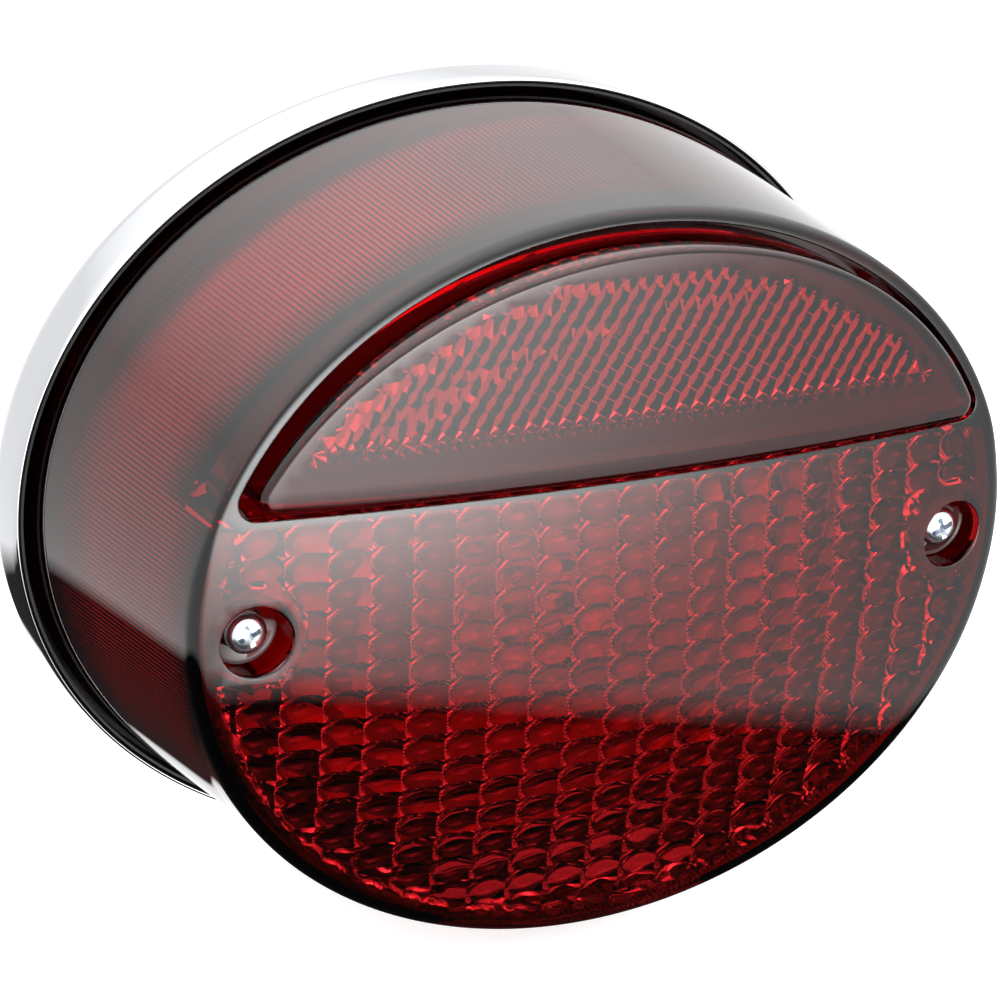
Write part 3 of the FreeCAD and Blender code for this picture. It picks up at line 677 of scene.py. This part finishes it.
def spread(material, value, low, high):
    """Maps a 0.3 to 0.7 value to a range."""
    node = material.node_tree.nodes.new("ShaderNodeMapRange")
    node.inputs["From Min"].default_value = 0.3
    node.inputs["From Max"].default_value = 0.7
    node.inputs["To Min"].default_value = low
    node.inputs["To Max"].default_value = high
    material.node_tree.links.new(value, node.inputs["Value"])
    return node.outputs["Result"]


def tint(material, value, dark, light):
    """Colour between two by a value."""
    node = material.node_tree.nodes.new("ShaderNodeMix")
    node.data_type = "RGBA"
    node.inputs["A"].default_value = (*dark, 1)
    node.inputs["B"].default_value = (*light, 1)
    material.node_tree.links.new(spread(material, value, 0, 1), node.inputs["Factor"])
    return node.outputs["Result"]


def bump(material, value, distance, strength=1.0):
    """Adds a bump of a given height in metres to the material's shader."""
    tree = material.node_tree
    node = tree.nodes.new("ShaderNodeBump")
    node.inputs["Distance"].default_value = distance
    node.inputs["Strength"].default_value = strength
    tree.links.new(value, node.inputs["Height"])
    tree.links.new(node.outputs["Normal"], tree.nodes["Principled BSDF"].inputs["Normal"])


def acrylic(name, color, wave=0.00001):
    """Clear tinted plastic with the faint waves of a moulding."""
    material, _ = principled(name, color, 0.015, IOR=1.49, Transmission_Weight=1.0)
    bump(material, noise(material, 60, 1.0), wave)
    return material


def paint_shade_by_depth(material, near, far, start, end):
    """Tints a plastic from near to far along Y, as painted shade: the side wall and the recess behind the
    face look deeper and darker than the face, though the real lens is one plastic.
    """
    tree = material.node_tree
    place = tree.nodes.new("ShaderNodeTexCoord")
    split = tree.nodes.new("ShaderNodeSeparateXYZ")
    tree.links.new(place.outputs["Object"], split.inputs[0])
    share = tree.nodes.new("ShaderNodeMapRange")
    share.inputs["From Min"].default_value = start * MM
    share.inputs["From Max"].default_value = end * MM
    tree.links.new(split.outputs["Y"], share.inputs["Value"])
    mix = tree.nodes.new("ShaderNodeMix")
    mix.data_type = "RGBA"
    mix.inputs["A"].default_value = (*near, 1)
    mix.inputs["B"].default_value = (*far, 1)
    tree.links.new(share.outputs["Result"], mix.inputs["Factor"])
    tree.links.new(mix.outputs["Result"], tree.nodes["Principled BSDF"].inputs["Base Color"])


def moulded(name, dark, light, rough, grain=900, depth=0.00003):
    """Opaque plastic or rubber with a fine grain."""
    material, shader = principled(name, dark, rough)
    links = material.node_tree.links
    links.new(tint(material, noise(material, 40, 4), dark, light), shader.inputs["Base Color"])
    links.new(spread(material, noise(material, 120, 3), rough - 0.06, rough + 0.08),
              shader.inputs["Roughness"])
    bump(material, noise(material, grain, 2), depth)
    return material


def metal(name, dark, light, rough, stretch=(1, 1, 1), scale=300, depth=0.000004):
    """Metal with faint streaks or grain."""
    material, shader = principled(name, light, rough, 1.0)
    links = material.node_tree.links
    streak = noise(material, scale, 4, stretch)
    links.new(tint(material, streak, dark, light), shader.inputs["Base Color"])
    links.new(spread(material, noise(material, 90, 3), rough * 0.7, rough * 1.4),
              shader.inputs["Roughness"])
    bump(material, streak, depth)
    return material


# The darker wall colour is painted shade: the lens is one smoked plastic, tinted darker towards the back
# so its wall, recess and cup look shaded.
SMOKED_FACE = (0.41, 0.006, 0.009)
WALL_PAINTED_SHADE = (0.22, 0.004, 0.006)
smoked = acrylic("smoked_acrylic", SMOKED_FACE)
paint_shade_by_depth(smoked, SMOKED_FACE, WALL_PAINTED_SHADE, CROWN + 3, CROWN + 10)
reflex_red = acrylic("reflex_acrylic", (0.36, 0.008, 0.012))
clear = acrylic("clear_acrylic", (0.93, 0.94, 0.95))
chrome = metal("mirror_chrome", (0.51, 0.52, 0.54), (0.55, 0.56, 0.58), 0.03, scale=20, depth=0.000001)
zinc = metal("bright_zinc", (0.62, 0.67, 0.74), (0.86, 0.89, 0.92), 0.22)
stud_zinc = metal("stud_zinc", (0.5, 0.5, 0.46), (0.74, 0.73, 0.66), 0.3, (1, 6, 1))
turned_brass = metal("turned_brass", (0.6, 0.44, 0.2), (0.85, 0.66, 0.34), 0.28, (1, 8, 1))
metallised = metal("metallised", (0.74, 0.75, 0.76), (0.84, 0.84, 0.85), 0.42, scale=60)
black_plastic = moulded("black_plastic", (0.012, 0.012, 0.013), (0.03, 0.03, 0.032), 0.45)
rubber = moulded("black_rubber", (0.010, 0.010, 0.010), (0.025, 0.025, 0.026), 0.62, 1400, 0.00004)
grey_plastic = moulded("grey_plastic", (0.20, 0.20, 0.20), (0.26, 0.26, 0.26), 0.4)
bulb_clear = acrylic("bulb_glass", (0.97, 0.97, 0.96), 0.000004)
nickel = metal("nickel_plated_brass", (0.5, 0.47, 0.4), (0.74, 0.71, 0.63), 0.25, (1, 8, 1))
tungsten = metal("tungsten_wire", (0.2, 0.2, 0.21), (0.36, 0.36, 0.38), 0.4)
solder = metal("soft_solder", (0.42, 0.43, 0.45), (0.66, 0.67, 0.69), 0.35)
black_glass = moulded("black_glass", (0.010, 0.010, 0.014), (0.02, 0.02, 0.03), 0.12, 300, 0.00001)
fibre = moulded("pressed_fibre", (0.2, 0.1, 0.045), (0.36, 0.21, 0.1), 0.6, 1600, 0.00004)

NODE_MATERIALS = {
    "licence_window": clear, "reflex_back_plate": black_plastic,
    "left_screw_seal": rubber, "right_screw_seal": rubber,
    "left_threaded_insert": turned_brass, "right_threaded_insert": turned_brass,
    "base_bosses": stud_zinc, "base_gasket": rubber, "mounting_studs": stud_zinc,
    "back_pad": rubber, "wire_grommet": rubber, "drain_plug": rubber,
    "inner_housing": grey_plastic, "housing_screws": zinc, "reflector_bowl": metallised,
    "reflector_screws": zinc, "bulb_glass": bulb_clear, "bulb_stem": bulb_clear,
    "bulb_filaments": tungsten, "bulb_cap": nickel, "bulb_insulator": black_glass,
    "bulb_contacts": solder, "bulb_socket": zinc, "socket_disc": fibre,
    "socket_contacts": turned_brass, "socket_spring": stud_zinc,
}
for node_name, node_material in NODE_MATERIALS.items():
    node_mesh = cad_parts[node_name].data
    node_mesh.materials.clear()
    node_mesh.materials.append(node_material)


# ---- Pieces ---------------------------------------------------------------------------
def cut_away(target, shape):
    """Takes a bmesh solid out of a piece."""
    mesh = bpy.data.meshes.new("cutter")
    bmesh.ops.recalc_face_normals(shape, faces=shape.faces)
    shape.to_mesh(mesh)
    shape.free()
    cutter = bpy.data.objects.new("cutter", mesh)
    bpy.context.scene.collection.objects.link(cutter)
    cut = target.modifiers.new("cut", "BOOLEAN")
    cut.object = cutter
    cut.operation = "DIFFERENCE"
    cut.solver = "EXACT"
    bpy.context.view_layer.update()
    done = bpy.data.meshes.new_from_object(target.evaluated_get(bpy.context.evaluated_depsgraph_get()))
    target.modifiers.clear()
    target.data = done
    bpy.data.objects.remove(cutter)


BELOW_WINDOW = 4
ABOVE_WINDOW = 6


def cut_window(lens):
    """Opens the lens's lower wall round the licence window."""
    low = WINDOW_LOW - CLEARANCE
    high = WINDOW_HIGH + CLEARANCE
    low[2] -= BELOW_WINDOW
    high[2] += ABOVE_WINDOW
    shape = bmesh.new()
    bmesh.ops.create_cube(shape, size=1.0)
    for vertex in shape.verts:
        vertex.co = Vector([(low[k] if vertex.co[k] < 0 else high[k]) * MM for k in range(3)])
    cut_away(lens, shape)


def cut_cross(screw, x, top):
    """Sinks the driver's cross into a screw head."""
    cross = cross_cutter(x, top)
    shape = bmesh.new()
    corners = [shape.verts.new(Vector(point) * MM) for point in cross.points]
    for face in cross.faces:
        shape.faces.new([corners[i] for i in face])
    cut_away(screw, shape)


lens_piece = piece("smoked_lens", lens_mesh(), "lens", smoked, ["lens_shell"])
cut_window(lens_piece)
piece("reflex_block", reflector_mesh(), "lens", reflex_red, ["reflex_reflector"], 25)
for side_name, side in (("left", -1), ("right", 1)):
    screw_node = side_name + "_lens_screw"
    screw_low, screw_high = node_box(screw_node)
    screw_piece = piece(side_name + "_cross_screw", screw_mesh(side * SCREW_X, screw_low, screw_high),
                        side_name + "_screw", zinc, [screw_node], 30)
    cut_cross(screw_piece, side * SCREW_X, screw_low[1])
piece("chrome_dish", base_mesh(), "base", chrome, ["chrome_base"])


# ---- Floor, light and camera ----------------------------------------------------------
FLOOR_HALF = 6.0


def make_floor():
    """Large pale floor under the object, seen by the camera but not in reflections."""
    mesh = bpy.data.meshes.new("floor")
    around = ((-1, -1), (1, -1), (1, 1), (-1, 1))
    corners = [(u * FLOOR_HALF, v * FLOOR_HALF, cad_low[2]) for u, v in around]
    mesh.from_pydata(corners, [], [(0, 1, 2, 3)])
    floor = bpy.data.objects.new("floor", mesh)
    bpy.context.scene.collection.objects.link(floor)
    material, shader = principled("pale_floor", (0.88, 0.88, 0.88), 0.9)
    material.node_tree.links.new(
        tint(material, noise(material, 3, 3), (0.86, 0.86, 0.86), (0.9, 0.9, 0.9)),
        shader.inputs["Base Color"])
    shader.inputs["Emission Color"].default_value = (1, 1, 1, 1)
    shader.inputs["Emission Strength"].default_value = 0.7
    mesh.materials.append(material)
    floor.visible_glossy = False
    floor.visible_transmission = False


# Camera: angles in degrees, its distance from the point that it looks at, and its lens.
AZIMUTH = -28.14
ELEVATION = 21.82
ROLL = 3.03
DISTANCE = 706.8
AIM = (-18.3, 16.4, 14.5)
FOCAL_LENGTH = 146.5
SENSOR = 36.0

# Light tent: strengths, and angles in radians. The camera stands in a slightly darker gap.
# The table's edge is given as the slope down to it, which grows to the right and behind.
TABLE_SLOPE = 0.52
TABLE_TURN = 0.26
TABLE_AHEAD = 0.47
TABLE_BEHIND = 0.9
EDGE_SHARPNESS = 16.0
TENT_LIGHT = 1.3
TABLE_LIGHT = 0.03
OVERHEAD_LIGHT = 3.6
OVERHEAD_START = 0.25
FRONT_LIGHT = 11.0
FRONT_AZIMUTH = math.radians(10)
FRONT_HEIGHT = math.radians(-8)
FRONT_WIDTH = math.radians(14)
FRONT_REACH = math.radians(9)
CAMERA_GAP = math.radians(6)
CAMERA_DARK = 0.45


class WorldMath:
    """Small helper that chains math nodes in the world's tree."""

    def __init__(self, tree):
        self.tree = tree

    def run(self, operation, *values):
        """Adds one math node, fed by numbers or by other nodes' outputs."""
        node = self.tree.nodes.new("ShaderNodeMath")
        node.operation = operation
        for socket, value in zip(node.inputs, values):
            if isinstance(value, (int, float)):
                socket.default_value = value
            else:
                self.tree.links.new(value, socket)
        return node.outputs[0]


def make_world():
    """Light tent: bright all round above a dark table edge, brightest in front and overhead."""
    world = bpy.data.worlds.new("studio")
    bpy.context.scene.world = world
    world.use_nodes = True
    tree = world.node_tree
    run = WorldMath(tree).run
    place = tree.nodes.new("ShaderNodeTexCoord")
    split = tree.nodes.new("ShaderNodeSeparateXYZ")
    tree.links.new(place.outputs["Generated"], split.inputs[0])
    x, y, z = split.outputs
    level = run("SQRT", run("ADD", run("MULTIPLY", x, x), run("MULTIPLY", y, y)))
    level = run("MAXIMUM", level, 0.001)
    side = run("DIVIDE", x, level)
    slope = run("DIVIDE", z, level)
    edge = run("MAXIMUM", TABLE_SLOPE, run("MULTIPLY_ADD", side, TABLE_TURN, TABLE_AHEAD))
    behind = run("MAXIMUM", run("DIVIDE", y, level), 0.0)
    right = run("MAXIMUM", run("SUBTRACT", side, 0.05), 0.0)
    edge = run("MULTIPLY_ADD", run("MULTIPLY", right, behind), TABLE_BEHIND, edge)
    above = run("MULTIPLY_ADD", run("ADD", slope, edge), EDGE_SHARPNESS, 0.5)
    shown = run("SMOOTH_MIN", run("MAXIMUM", above, 0.0), 1.0, 0.1)
    azimuth = run("ARCTAN2", x, run("MULTIPLY", y, -1.0))
    height = run("ARCSINE", z)

    def soft_spot(centre, middle, wide, tall, peak):
        """Bell-shaped spot at an azimuth and a height."""
        across = run("DIVIDE", run("SUBTRACT", azimuth, centre), wide)
        up = run("DIVIDE", run("SUBTRACT", height, middle), tall)
        far = run("ADD", run("MULTIPLY", across, across), run("MULTIPLY", up, up))
        return run("MULTIPLY", run("EXPONENT", run("MULTIPLY", far, -0.5)), peak)

    front = soft_spot(FRONT_AZIMUTH, FRONT_HEIGHT, FRONT_WIDTH, FRONT_REACH, FRONT_LIGHT)
    overhead = run("MULTIPLY", run("MAXIMUM", run("SUBTRACT", z, OVERHEAD_START), 0.0), OVERHEAD_LIGHT)
    total = run("ADD", run("ADD", front, overhead), TENT_LIGHT)
    gap = soft_spot(math.radians(AZIMUTH), math.radians(ELEVATION), CAMERA_GAP, CAMERA_GAP, CAMERA_DARK)
    total = run("MULTIPLY", total, run("SUBTRACT", 1.0, gap))
    strength = run("MULTIPLY_ADD", run("MULTIPLY", total, shown), 1 - TABLE_LIGHT, TABLE_LIGHT)
    tree.links.new(strength, tree.nodes["Background"].inputs["Strength"])
    tree.nodes["Background"].inputs["Color"].default_value = (1, 1, 1, 1)


def make_camera():
    """Camera in front of the light, to its left and above."""
    data = bpy.data.cameras.new("camera")
    data.lens = FOCAL_LENGTH
    data.sensor_width = SENSOR
    data.clip_start = 0.05
    data.clip_end = 30.0
    camera = bpy.data.objects.new("camera", data)
    bpy.context.scene.collection.objects.link(camera)
    across, up = math.radians(AZIMUTH), math.radians(ELEVATION)
    back = Vector((math.sin(across) * math.cos(up), -math.cos(across) * math.cos(up), math.sin(up)))
    target = Vector((AIM[0], CROWN + AIM[1], AIM[2])) * MM
    camera.location = target + back * DISTANCE * MM
    camera.rotation_mode = "QUATERNION"
    level = (-back).to_track_quat("-Z", "Y")
    camera.rotation_quaternion = level @ Quaternion((0, 0, 1), math.radians(ROLL))
    bpy.context.scene.camera = camera


make_floor()
make_world()
make_camera()
bpy.context.scene.view_settings.view_transform = "Standard"
